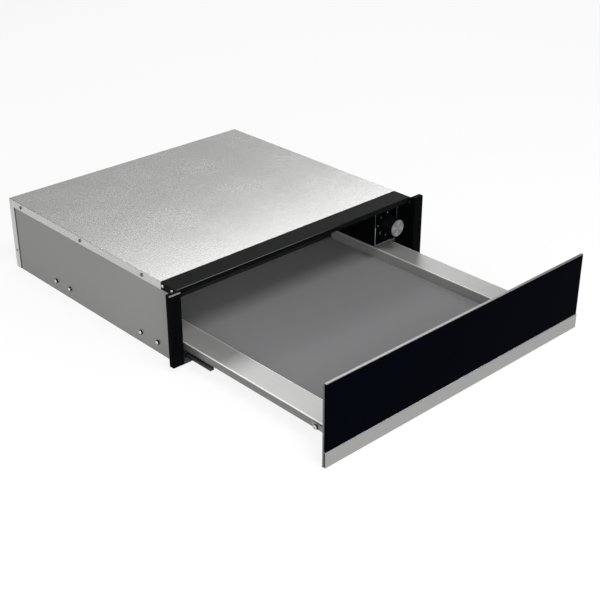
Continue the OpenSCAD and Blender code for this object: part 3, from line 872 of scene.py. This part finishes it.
@dataclass
class FrontFrame:
    """The black bar and posts round the drawer's opening."""

    sheet: float = 1.2 * MM
    wall: float = 1.5 * MM
    corner: float = 2.2 * MM
    pocket: float = 7.0 * MM
    return_d: float = 9.0 * MM
    lip: float = 9.5 * MM
    post_d: float = 10.0 * MM
    running_gap: float = 0.4 * MM
    cover_sheet: float = 1.0 * MM
    bend: float = 1.2 * MM
    end_round: float = 0.9 * MM

    def build_bar(self) -> None:
        """Folds the bar's lip and return, and joins its end tabs."""
        low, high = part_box("front_top_bar")
        _, cover_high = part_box("top_cover")
        half = self.sheet / 2
        inside = cover_high.x - self.cover_sheet
        foot, front, top = high.z - self.lip + half, low.y + half, high.z - half
        path = [(-inside, low.y + self.return_d, foot), (-inside, front, foot),
                (-inside, front, top), (-inside, high.y, top)]
        bar = Solid.folded("bar_folded", path, (2 * inside, 0, 0), self.sheet, self.bend)
        cover_low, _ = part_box("top_cover")
        tab_low = (low.x, low.y, low.z)
        tab_high = (low.x + self.sheet, cover_low.y - self.running_gap, high.z)
        tab = Solid.block("bar_tab", tab_low, tab_high).eased(0.35 * MM)
        bar.joined(tab, tab.mirrored("bar_tab_right"))
        bar.settled(Body.HOUSING, Finishes.frame, "black_frame", "front_top_bar")

    def build_posts(self) -> None:
        """Rounds and hollows the left post, adds its flange and mirrors it."""
        low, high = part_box("left_post")
        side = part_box("left_side_panel")[0].x
        back = low.y + self.post_d
        post = Solid.block("post_left", low, (side, back, high.z))
        post.rounded(self.corner, lambda middle, line: abs(line.z) > 0.9 and near(middle.y, low.y))
        post.rounded(self.end_round, lambda middle, line: abs(line.z) < 0.5
                     and middle.y < back - MM
                     and (near(middle.z, high.z) or near(middle.z, low.z)), 3)
        post.sunk(self.wall, self.pocket, lambda middle, normal: normal.y > 0.9)
        inner, near_back = high.x, back - self.wall
        panel_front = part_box("left_side_panel")[0].y
        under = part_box("left_fixed_rail")[1].z + self.running_gap
        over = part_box("front_top_bar")[1].z - self.lip - 0.5 * MM
        wall = Solid.block("post_wall", (side - self.wall, near_back, low.z),
                           (side, panel_front, high.z - 1.0 * MM))
        strap = Solid.block("post_strap", (side - self.wall, near_back, under),
                            (inner, back, over))
        flange = Solid.block("post_flange", (side + 1.0 * MM, near_back, under),
                             (inner, high.y, over))
        post.joined(wall.eased(EASE), strap.eased(EASE), flange.eased(EASE))
        other = post.mirrored("post_right")
        post.settled(Body.HOUSING, Finishes.post, "black_frame", "left_post")
        other.settled(Body.HOUSING, Finishes.post, "black_frame", "right_post")

    def build(self) -> None:
        """Builds the bar and both posts."""
        self.build_bar()
        self.build_posts()


@dataclass
class PanScrew:
    """A pan-head screw with a cross recess, its head out along -X.

    Args:
        head_r: the head's radius.
        head_h: its height.
        shank_r: the shank's radius.
        length: its length.
        dome: the round of the head, as a share of its height.
        arm: the recess's half length, as a share of the head's radius.
        slim: its half width, as a share of the same.
        deep: its depth, as a share of the head's height.
    """

    head_r: float
    head_h: float
    shank_r: float = 1.5 * MM
    length: float = 4.0 * MM
    dome: float = 0.6
    arm: float = 0.62
    slim: float = 0.17
    deep: float = 0.7

    def build(self, name: str, place: Vector) -> Solid:
        """Makes one screw.

        Args:
            name: the piece's name.
            place: the middle of the head's underside.

        Returns:
            The screw.
        """
        top = place - Vector((self.head_h, 0, 0))
        head = Solid.rod(name, place, top, self.head_r, 24)
        head.rounded(self.head_h * self.dome, lambda middle, line: near(middle.x, top.x), 3)
        arm, slim, deep = (self.head_r * self.arm, self.head_r * self.slim,
                           self.head_h * self.deep)
        cross = [Solid.block("recess", top + Vector((-1 * MM, -y, -z)), top + Vector((deep, y, z)))
                 for y, z in ((arm, slim), (slim, arm))]
        head.cut(*cross)
        shank = Solid.rod("shank", place - Vector((0.1 * MM, 0, 0)),
                          place + Vector((self.length, 0, 0)), self.shank_r, 16)
        return head.joined(shank)

    def row(self, name: str, places: Sequence[Vector]) -> Solid:
        """A screw at each place on the left, and its twin on the right, as one piece."""
        first = self.build(name, places[0])
        rest = [first.copied(name, Matrix.Translation(p - places[0])) for p in places[1:]]
        return first.joined(*rest).paired()


@dataclass
class Fasteners:
    """The screws seen on the housing's sides."""

    front: float = field(default_factory=lambda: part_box("left_post")[0].y)
    cover_y: Sequence[float] = (0.103, 0.282, 0.475)
    frame_y: Sequence[float] = (0.022, 0.047)
    rail_y: Sequence[float] = (0.071, 0.118, 0.332, 0.376)
    shade_ring_r: float = 4.3 * MM
    shade_ring_h: float = 2.2 * MM

    def places(self, node: str, ys: Sequence[float], head: float) -> list[Vector]:
        """Where the heads of a CAD node's screws sit on the left side.

        Args:
            node: the CAD node.
            ys: the screws' distances behind the front plane.
            head: the height of the heads.

        Returns:
            The middles of the heads' undersides.
        """
        low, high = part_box(node)
        middle = (low.z + high.z) / 2
        return [Vector((low.x + head, self.front + y, middle)) for y in ys]

    def build(self) -> None:
        """Makes the three kinds of screw, and the black rings under the runner screws, painted
        shade round their heads.
        """
        cover = PanScrew(3.2 * MM, 1.4 * MM)
        cover.row("screws_cover", self.places("cover_screws", self.cover_y, cover.head_h)).settled(
            Body.HOUSING, Finishes.dark_screw, "dark_screws", "cover_screws")
        frame_screw = PanScrew(2.6 * MM, 1.4 * MM, length=1.5 * MM)
        frame_screw.row("screws_frame", self.places("frame_screws", self.frame_y,
                                                    frame_screw.head_h)).settled(
            Body.HOUSING, Finishes.screw, "bright_screws", "frame_screws")
        rail = PanScrew(3.1 * MM, 1.0 * MM, length=4.0 * MM)
        seats = self.places("runner_screws", self.rail_y, self.shade_ring_h)
        faces = [seat - Vector((self.shade_ring_h, 0, 0)) for seat in seats]
        rail.row("screws_rail", faces).settled(Body.HOUSING, Finishes.screw, "bright_screws",
                                               "runner_screws")
        # Painted shade: black rings under the runner screws stand for the dark gap round each head.
        shade_rings = [Solid.rod("collar", seat, face + Vector((0.1 * MM, 0, 0)), self.shade_ring_r, 32)
                   for seat, face in zip(seats, faces)]
        Solid.merged("rail_shade_rings", shade_rings).eased(EASE).paired().settled(
            Body.HOUSING, Finishes.black, "dark_screws")


@dataclass
class Controls:
    """The control box with its fascia, dial, lamp and knob."""

    mark_r: float = 22.5 * MM
    figures: Sequence[str] = ("0", "1", "2", "3", "4")
    first_angle: float = 94.0
    last_angle: float = -86.0
    figure_size: float = 5.0 * MM
    shaft_hole: float = 5.0 * MM
    lamp_hole: float = 2.2 * MM
    lens_r: float = 2.1 * MM
    collar_d: float = 12.0 * MM
    trim_w: float = 1.8 * MM
    trim_foot: float = 1.2 * MM
    chamfer: float = 0.6 * MM
    neck_d: float = 4.0 * MM
    neck_in: float = 1.5 * MM
    flutes: int = 36
    flute_r: float = 0.45 * MM

    def axis(self) -> Vector:
        """The middle of the knob's face."""
        low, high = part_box("knob_cap")
        return Vector(((low.x + high.x) / 2, low.y, (low.z + high.z) / 2))

    def build_fascia(self) -> None:
        """The glossy fascia, with holes for the shaft and the lamp."""
        low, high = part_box("control_fascia")
        axis = self.axis()
        lamp_low, lamp_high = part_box("pilot_lamp")
        lamp = (lamp_low + lamp_high) / 2
        plate = Solid.block("fascia_plate", low, high)
        holes = [Solid.rod("hole", (x, low.y - MM, z), (x, high.y + MM, z), r, 32)
                 for x, z, r in ((axis.x, axis.z, self.shaft_hole),
                                 (lamp.x, lamp.z, self.lamp_hole))]
        plate.cut(*holes).eased(0.25 * MM)
        plate.settled(Body.HOUSING, Finishes.fascia, "fascia_gloss", "control_fascia")

    def build_trim(self) -> None:
        """The bright frame at the fascia's left, foot and right."""
        low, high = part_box("fascia_trim")
        width, foot = self.trim_w, self.trim_foot
        bars = [Solid.block("trim_bar", a, b).eased(0.2 * MM) for a, b in (
            (low, (low.x + width, high.y, high.z)),
            ((high.x - 1.5 * width, low.y, low.z), high),
            ((low.x + width, low.y, low.z), (high.x - width, high.y, low.z + foot)))]
        Solid.merged("fascia_trim_frame", bars).settled(Body.HOUSING, Finishes.trim,
                                                        "bright_trim", "fascia_trim")

    def build_scale(self) -> None:
        """Printed figures round the knob, with a tick beside each."""
        axis, face = self.axis(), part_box("control_fascia")[0].y
        span = self.last_angle - self.first_angle
        marks = []
        for index, figure in enumerate(self.figures):
            angle = math.radians(self.first_angle + span * index / (len(self.figures) - 1))
            toward = Vector((-math.cos(angle), 0, math.sin(angle)))
            spot = axis + toward * self.mark_r
            Solid.clear()
            bpy.ops.object.text_add(location=(spot.x, face, spot.z), rotation=(math.pi / 2, 0, 0))
            text = bpy.context.active_object
            text.data.body, text.data.size = figure, self.figure_size
            text.data.align_x, text.data.align_y = "CENTER", "CENTER"
            text.data.extrude = 0.05 * MM
            bpy.ops.object.convert(target="MESH")
            marks.append(Solid._taken("figure"))
            marks.append(self.tick(axis, face, toward))
        Solid.merged("dial_print", marks).settled(Body.HOUSING, Finishes.ink, "white_plastic")

    def tick(self, axis: Vector, face: float, toward: Vector) -> Solid:
        """One short printed line that points at the knob's axis."""
        turn = Matrix.Rotation(math.atan2(toward.z, toward.x), 4, (0, -1, 0))
        start = self.mark_r - 5.2 * MM
        line = Solid.block("tick", (start, -0.05 * MM, -0.2 * MM), (start + 1.6 * MM, 0.05 * MM,
                                                                   0.2 * MM))
        return line.moved(Matrix.Translation((axis.x, face, axis.z)) @ turn)

    def build_knob(self) -> None:
        """The knob: a finely fluted black body on a narrower neck, and a spun metal cap."""
        low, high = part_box("knob_body")
        axis = self.axis()
        radius = (high.x - low.x) / 2
        step = high.y - self.neck_d
        body = Solid.rod("knob_grip", (axis.x, low.y, axis.z), (axis.x, step, axis.z), radius, 96)
        body.rounded(self.chamfer, lambda middle, _: near(middle.y, low.y), 2)
        angles = (2 * math.pi * i / self.flutes for i in range(self.flutes))
        spots = [(axis.x + radius * math.cos(a), axis.z + radius * math.sin(a)) for a in angles]
        grooves = [Solid.rod("flute", (x, low.y + 3 * MM, z), (x, step + MM, z), self.flute_r, 10)
                   for x, z in spots]
        body.cut(Solid.merged("flutes", grooves))
        neck = Solid.rod("neck", (axis.x, step - 0.2 * MM, axis.z), (axis.x, high.y, axis.z),
                         radius - self.neck_in, 64)
        body.joined(neck.eased(EASE))
        body.settled(Body.KNOB, Finishes.black, "black_plastic", "knob_body")
        cap_low, cap_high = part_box("knob_cap")
        cap = Solid.rod("knob_face", (axis.x, cap_low.y, axis.z), (axis.x, cap_high.y, axis.z),
                        (cap_high.x - cap_low.x) / 2, 96)
        cap.rounded(0.5 * MM, lambda middle, _: near(middle.y, cap_low.y), 2)
        cap.sunk(1.1 * MM, 0.12 * MM, lambda middle, normal: normal.y < -0.99)
        notch = Solid.block("notch", (axis.x - 0.45 * MM, cap_low.y - MM, axis.z + radius * 0.6),
                            (axis.x + 0.45 * MM, cap_low.y + 0.5 * MM, axis.z + radius * 1.1))
        face = Spun("knob_spun", (0.19, 0.19, 0.195), 0.30, tuple(axis))
        cap.cut(notch).settled(Body.KNOB, face, "spun_aluminium", "knob_cap")

    def build_lamp(self) -> None:
        """A domed lamp lens in its collar."""
        low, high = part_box("pilot_lamp")
        middle = (low + high) / 2
        collar = high.y - self.collar_d
        lens = Solid.rod("lamp_lens", (middle.x, low.y, middle.z), (middle.x, collar, middle.z),
                         self.lens_r, 32)
        lens.rounded(0.5 * MM, lambda at, _: near(at.y, low.y), 3)
        holder = Solid.rod("holder", (middle.x, collar, middle.z), (middle.x, high.y, middle.z),
                           (high.x - low.x) / 2, 32)
        lens.joined(holder.eased(EASE)).settled(Body.HOUSING, Finishes.lamp, "lamp_lens",
                                                "pilot_lamp")

    def build(self) -> None:
        """Builds the controls and dresses what is behind them."""
        self.build_fascia()
        self.build_trim()
        self.build_scale()
        self.build_knob()
        self.build_lamp()
        dressed(Finishes.box, "control_box")
        dressed(Finishes.slide, "thermostat_body", "thermostat_nut", "thermostat_shaft")
        dressed(Finishes.probe, "temperature_probe")


@dataclass
class DrawerTray:
    """The pressed tray with its ledges, bright rods along their bends for a painted highlight, and
    the mat in it.
    """

    sheet: float = 1.0 * MM
    ledge_drop: float = 13.9 * MM
    floor_half: float = 217.0 * MM
    bend: float = 1.4 * MM
    corner: float = 3.0 * MM
    back_lip: float = 3.0 * MM
    highlight_sunk: float = 1.2 * MM

    def build_tray(self) -> None:
        """Draws the walls up from the floor, and the ledges out and down."""
        low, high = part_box("drawer_tray")
        half = self.sheet / 2
        inner = self.floor_half + half
        floor, top = low.z + half, high.z - half
        front, back, outer = low.y + half, high.y - half, high.x - half
        tray = Solid.leaf("tray_pressed", (-inner, front, floor), (2 * inner, 0, 0),
                          (0, back - front, 0))
        for walls, rise in ((lambda at, _: near(at.y, back) and near(at.z, floor),
                             self.back_lip + half),
                            (lambda at, _: at.y < back - self.corner and near(at.z, floor),
                             top - floor)):
            tray.pick(Part.EDGES, walls)
            bpy.ops.mesh.extrude_edges_move(TRANSFORM_OT_translate={"value": (0, 0, rise)})
        tray.rounded(self.corner, lambda at, line: abs(line.z) > 0.9 and near(at.y, front))
        for side in Side:
            sign = side.value
            tray.pick(Part.EDGES, lambda at, line, sign=sign: near(at.x, sign * inner)
                      and near(at.z, top) and abs(line.y) > 0.9)
            bpy.ops.mesh.extrude_region_move(
                TRANSFORM_OT_translate={"value": (sign * (outer - inner), 0, 0)})
            bpy.ops.mesh.extrude_region_move(
                TRANSFORM_OT_translate={"value": (0, 0, -self.ledge_drop + half)})
        tray.thickened(self.sheet, self.bend)
        tray.settled(Body.DRAWER, Finishes.tray, "drawer_steel", "drawer_tray")

    def build_bend_highlights(self) -> None:
        """A bright steel rod sunk along each bend of both ledges, a painted highlight."""
        low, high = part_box("drawer_tray")
        sunk, reach = self.highlight_sunk, 6.0 * MM
        outer, inner, top = high.x - sunk, self.floor_half + sunk, high.z - sunk
        highlight_rods = [Solid.rod("rim", (x, low.y + reach, top), (x, high.y - reach, top),
                          sunk + 0.05 * MM, 32)
                for x in (-outer, -inner, inner, outer)]
        Solid.merged("tray_bend_highlights", highlight_rods).settled(Body.DRAWER, Finishes.rim, "drawer_steel")

    def build_mat(self) -> None:
        """A flat rubber mat with round corners and an eased rim."""
        low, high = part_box("non_slip_mat")
        mat = Solid.block("mat_sheet", low, high)
        mat.rounded(self.corner, lambda _, line: abs(line.z) > 0.9, 6)
        mat.rounded(0.5 * MM, lambda at, line: near(at.z, high.z) and abs(line.z) < 0.1, 3)
        mat.settled(Body.DRAWER, Finishes.mat, "mat_rubber", "non_slip_mat")

    def build(self) -> None:
        """Builds the tray, the painted highlights on its bends and the mat, and dresses what
        stiffens and carries them.
        """
        self.build_tray()
        self.build_bend_highlights()
        self.build_mat()
        dressed(Finishes.inner, "tray_cross_members", "left_carrier", "right_carrier")
        dressed(Finishes.slide, "latch_striker")


@dataclass
class DrawerFront:
    """The glass front with its bright edge, steel strip, backing and brackets."""

    polish: float = 0.5 * MM
    strip_sheet: float = 1.0 * MM
    strip_seam: float = 4.7 * MM
    bolt_r: float = 4.2 * MM
    shade_ring_t: float = 0.9 * MM
    head_r: float = 3.0 * MM
    head_h: float = 3.4 * MM

    def build_glass(self) -> None:
        """The glass, its edges polished round."""
        low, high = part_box("front_glass")
        glass = Solid.block("glass_pane", low, high).eased(self.polish, 3)
        glass.settled(Body.DRAWER, Finishes.glass, "black_glass", "front_glass")

    def build_trims(self) -> None:
        """The thin edge on top and the folded strip below."""
        low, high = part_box("front_top_trim")
        Solid.block("top_edge", low, high).eased(0.25 * MM).settled(
            Body.DRAWER, Finishes.edge, "satin_steel", "front_top_trim")
        low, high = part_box("front_bottom_strip")
        half = self.strip_sheet / 2
        front, foot, top = low.y + half, low.z + half, high.z - half
        path = [(low.x, high.y, foot), (low.x, front, foot), (low.x, front, top),
                (low.x, front + self.strip_seam - half, top)]
        strip = Solid.folded("strip_folded", path, (high.x - low.x, 0, 0), self.strip_sheet,
                             0.9 * MM)
        strip.settled(Body.DRAWER, Finishes.strip, "satin_steel", "front_bottom_strip")

    def build_bolts(self) -> None:
        """A hexagon bolt on a thin black ring, painted shade round its head, and a bracket screw on
        each side.
        """
        low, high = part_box("bracket_bolts")
        bracket_low, bracket_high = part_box("left_front_bracket")
        seat = bracket_high.x - 1.5 * MM
        place = Vector((seat, bracket_high.y - 9 * MM, low.z + self.bolt_r))
        # Painted shade: a thin black ring under each bolt head stands for the dark gap round it.
        flange = Solid.rod("bolt_shade_rings", place, place - Vector((self.shade_ring_t, 0, 0)),
                           self.bolt_r, 32)
        flange.eased(0.2 * MM).paired().settled(Body.DRAWER, Finishes.black, "dark_screws")
        top = place - Vector((self.head_h, 0, 0))
        head = Solid.rod("head", place, top, self.head_r, 6)
        head.rounded(0.35 * MM, lambda at, line: near(at.x, top.x), 2)
        head.sunk(1.3 * MM, 0.4 * MM, lambda at, normal: normal.x < -0.9)
        end = place + Vector((1.3 * MM, 0, 0))
        shank = Solid.rod("shank", place - Vector((1.0 * MM, 0, 0)), end, 2.0 * MM, 20)
        pan = PanScrew(3.4 * MM, 1.6 * MM, 2.0 * MM, 1.0 * MM).build("pan", Vector((0, 0, 0)))
        turn = Matrix.Rotation(-math.pi / 2, 4, Axis.Z.value)
        spot = Vector((bracket_high.x - 13.0 * MM, bracket_low.y + 1.5 * MM, high.z - 3.4 * MM))
        pan.moved(Matrix.Translation(spot) @ turn)
        Solid.merged("bolts_front", (head, shank, pan)).paired().settled(
            Body.DRAWER, Finishes.screw, "bright_screws", "bracket_bolts")

    def build(self) -> None:
        """Builds the front and dresses its backing and brackets."""
        self.build_glass()
        self.build_trims()
        self.build_bolts()
        dressed(Finishes.backing, "front_backing")
        dressed(Finishes.shaded_galvanised, "left_front_bracket", "right_front_bracket")


@dataclass
class Runners:
    """The telescopic runners: CAD members, the fixed and middle ones near-black for painted shade,
    with a bright strip on the middle ones for a painted highlight.
    """

    lip_h: float = 2.8 * MM
    lip_highlight_w: float = 5.6 * MM
    # The fixed and middle members are dressed near-black, painted shade.
    black: Sequence[str] = ("left_fixed_rail", "right_fixed_rail", "left_middle_rail",
                            "right_middle_rail")
    bright: Sequence[str] = ("left_outer_cage", "right_outer_cage", "left_inner_cage",
                             "right_inner_cage", "left_drawer_rail", "right_drawer_rail")

    def build_lip_highlights(self) -> None:
        """A bright zinc strip on the lower lip of each middle member, a painted highlight on its
        lit top.
        """
        low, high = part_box("left_middle_rail")
        lip = low.z + self.lip_h
        lip_highlight = Solid.block("lip_highlight_left", (low.x + 0.6 * MM, low.y + MM, lip - 0.1 * MM),
                            (low.x + self.lip_highlight_w, high.y - MM, lip + 0.2 * MM))
        lip_highlight.eased(0.08 * MM)
        other = lip_highlight.mirrored("lip_highlight_right")
        lip_highlight.settled(Body.LEFT_MIDDLE, Finishes.slide, "zinc_steel")
        other.settled(Body.RIGHT_MIDDLE, Finishes.slide, "zinc_steel")

    def build(self) -> None:
        """Adds the painted highlight strips and dresses the runner members."""
        self.build_lip_highlights()
        dressed(Finishes.rail, *self.black)
        dressed(Finishes.slide, *self.bright)


@dataclass
class RearCompartment:
    """The fan, heater, terminals and latch, which keep their CAD shapes."""

    finishes: dict[str, Finish] = field(default_factory=lambda: {
        "rear_partition": Finishes.inner,
        "fan_duct": Finishes.inner,
        "motor_bracket": Finishes.inner,
        "heating_element": Finishes.sheath,
        "safety_cutout": Finishes.slide,
        "motor_stator": Finishes.laminate,
        "motor_rotor": Finishes.laminate,
        "motor_coil": Finishes.wire,
        "shaft_bearings": Finishes.bush,
        "terminal_block": Finishes.white,
        "cable_gland": Finishes.black,
        "fan_shaft": Finishes.slide,
        "fan_impeller": Finishes.slide,
        "latch_body": Finishes.black,
        "latch_plunger": Finishes.white,
    })

    def build(self) -> None:
        """Dresses each node with its finish."""
        for node, finish in self.finishes.items():
            dressed(finish, node)


# ---------------------------------------------------------------- the studio


@dataclass(frozen=True)
class Softbox:
    """One rectangular lamp that faces a point."""

    name: str
    place: Place
    toward: Place
    size: tuple[float, float]
    watts: float

    def hang(self) -> None:
        """Adds the lamp."""
        data = bpy.data.lights.new(self.name, "AREA")
        data.shape, data.size, data.size_y, data.energy = "RECTANGLE", *self.size, self.watts
        lamp = bpy.data.objects.new(self.name, data)
        bpy.context.scene.collection.objects.link(lamp)
        lamp.location = self.place
        lamp.visible_camera = False
        line = Vector(self.toward) - Vector(self.place)
        lamp.rotation_euler = line.to_track_quat("-Z", "Y").to_euler()


@dataclass
class Studio:
    """The floor, the light and the camera."""

    azimuth: float = -42.93
    elevation: float = 28.05
    roll: float = -0.09
    distance: float = 2.05234
    focal_px: float = 1173.38
    image_px: float = 600.0
    aim: Place = (-0.0092, -0.2536, 0.0270)
    world_light: float = 0.28
    floor_colour: Colour = (0.82, 0.82, 0.82)
    floor_glow: float = 0.85
    wall_radius: float = 9.0
    wall_height: float = 2.8
    boxes: Sequence[Softbox] = (
        Softbox("front", (-0.5, -2.8, 1.05), (0.0, -0.3, 0.05), (3.4, 1.4), 50.0),
        Softbox("top", (-0.2, -1.5, 2.5), (0.0, -0.3, 0.1), (1.3, 1.0), 42.0),
        Softbox("card", (-0.9, -1.2, 0.45), (-0.27, -0.2, 0.07), (1.0, 0.6), 8.0),
        Softbox("rear", (2.0, 2.0, 2.15), (2.0, 0.0, 1.2), (3.2, 0.9), 32.0),
        Softbox("rim", (-1.4, 1.25, 1.7), (0.0, -0.3, 0.1), (0.9, 0.6), 8.5),
        Softbox("edge", (1.9, -1.6, 2.1), (0.0, -0.3, 0.1), (0.7, 0.7), 8.0),
    )

    def camera(self) -> None:
        """Places the camera as the photograph's."""
        data = bpy.data.cameras.new("camera")
        data.sensor_width = 36.0
        data.lens = self.focal_px * data.sensor_width / self.image_px
        thing = bpy.data.objects.new("camera", data)
        bpy.context.scene.collection.objects.link(thing)
        a, e = math.radians(self.azimuth), math.radians(self.elevation)
        back = Vector((math.sin(a) * math.cos(e), -math.cos(a) * math.cos(e), math.sin(e)))
        thing.location = Vector(self.aim) + back * self.distance
        look = (-back).to_track_quat("-Z", "Y").to_matrix()
        turn = Matrix.Rotation(math.radians(self.roll), 3, "Z")
        thing.rotation_euler = (look @ turn).to_euler()
        bpy.context.scene.camera = thing

    @staticmethod
    def seen(sheet: Sheet) -> Signal:
        """1 for what the camera sees, straight or in metal and glass."""
        path = sheet.node("ShaderNodeLightPath", output="Is Camera Ray")
        outputs = path.socket.node.outputs
        glossy = Signal(sheet, outputs["Is Glossy Ray"])
        through = Signal(sheet, outputs["Is Transmission Ray"])
        return (path + glossy + through).clamped()

    def paper(self) -> bpy.types.Material:
        """Pale paper: white where it is seen, and plain where it is lit."""
        sheet = Sheet("paper_pale")
        cloud = sheet.noise(3.0, 3.0)
        tone = sheet.blend(cloud, self.floor_colour, tuple(c * 0.99 for c in self.floor_colour))
        sheet.put(Base_Color=tone, Roughness=0.9, Specular_IOR_Level=0.0)
        glow = sheet.node("ShaderNodeEmission", None, {0: (1.0, 1.0, 1.0), 1: 1.0})
        plain = Signal(sheet, sheet.shader.outputs[0])
        mix = sheet.node("ShaderNodeMixShader", None,
                         {0: self.seen(sheet) * self.floor_glow, 1: plain, 2: glow})
        sheet.links.new(mix.socket, sheet.nodes["Material Output"].inputs["Surface"])
        return sheet.material

    def paper_room(self) -> None:
        """A floor that keeps the object's shadow, and a low round wall far behind it."""
        paper = self.paper()
        Solid.clear()
        bpy.ops.mesh.primitive_plane_add(size=4 * self.wall_radius, location=(0, 0, 0))
        floor = bpy.context.active_object
        bpy.ops.mesh.primitive_cylinder_add(vertices=96, radius=self.wall_radius,
                                            depth=self.wall_height, end_fill_type="NOTHING",
                                            location=(0, 0, self.wall_height / 2))
        wall = bpy.context.active_object
        for name, thing in (("floor", floor), ("wall", wall)):
            thing.name = name
            thing.data.materials.append(paper)

    def world(self) -> None:
        """Even light from all round."""
        world = bpy.data.worlds.new("studio")
        bpy.context.scene.world = world
        world.use_nodes = True
        back = world.node_tree.nodes["Background"]
        back.inputs["Color"].default_value = (1.0, 1.0, 1.0, 1.0)
        back.inputs["Strength"].default_value = self.world_light

    def build(self) -> None:
        """Sets up the whole studio."""
        bpy.context.scene.view_settings.view_transform = "Standard"
        self.camera()
        self.paper_room()
        self.world()
        for box in self.boxes:
            box.hang()


def main() -> None:
    """Builds every sub-assembly and the studio."""
    logging.basicConfig(level=logging.INFO, format="%(name)s: %(message)s")
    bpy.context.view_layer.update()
    for assembly in (HousingShell(), FrontFrame(), Fasteners(), Controls(), DrawerTray(),
                     DrawerFront(), Runners(), RearCompartment(), Studio()):
        assembly.build()
        LOG.info("%s built", type(assembly).__name__)
    Solid.clear()


if __name__ == "__main__":
    main()
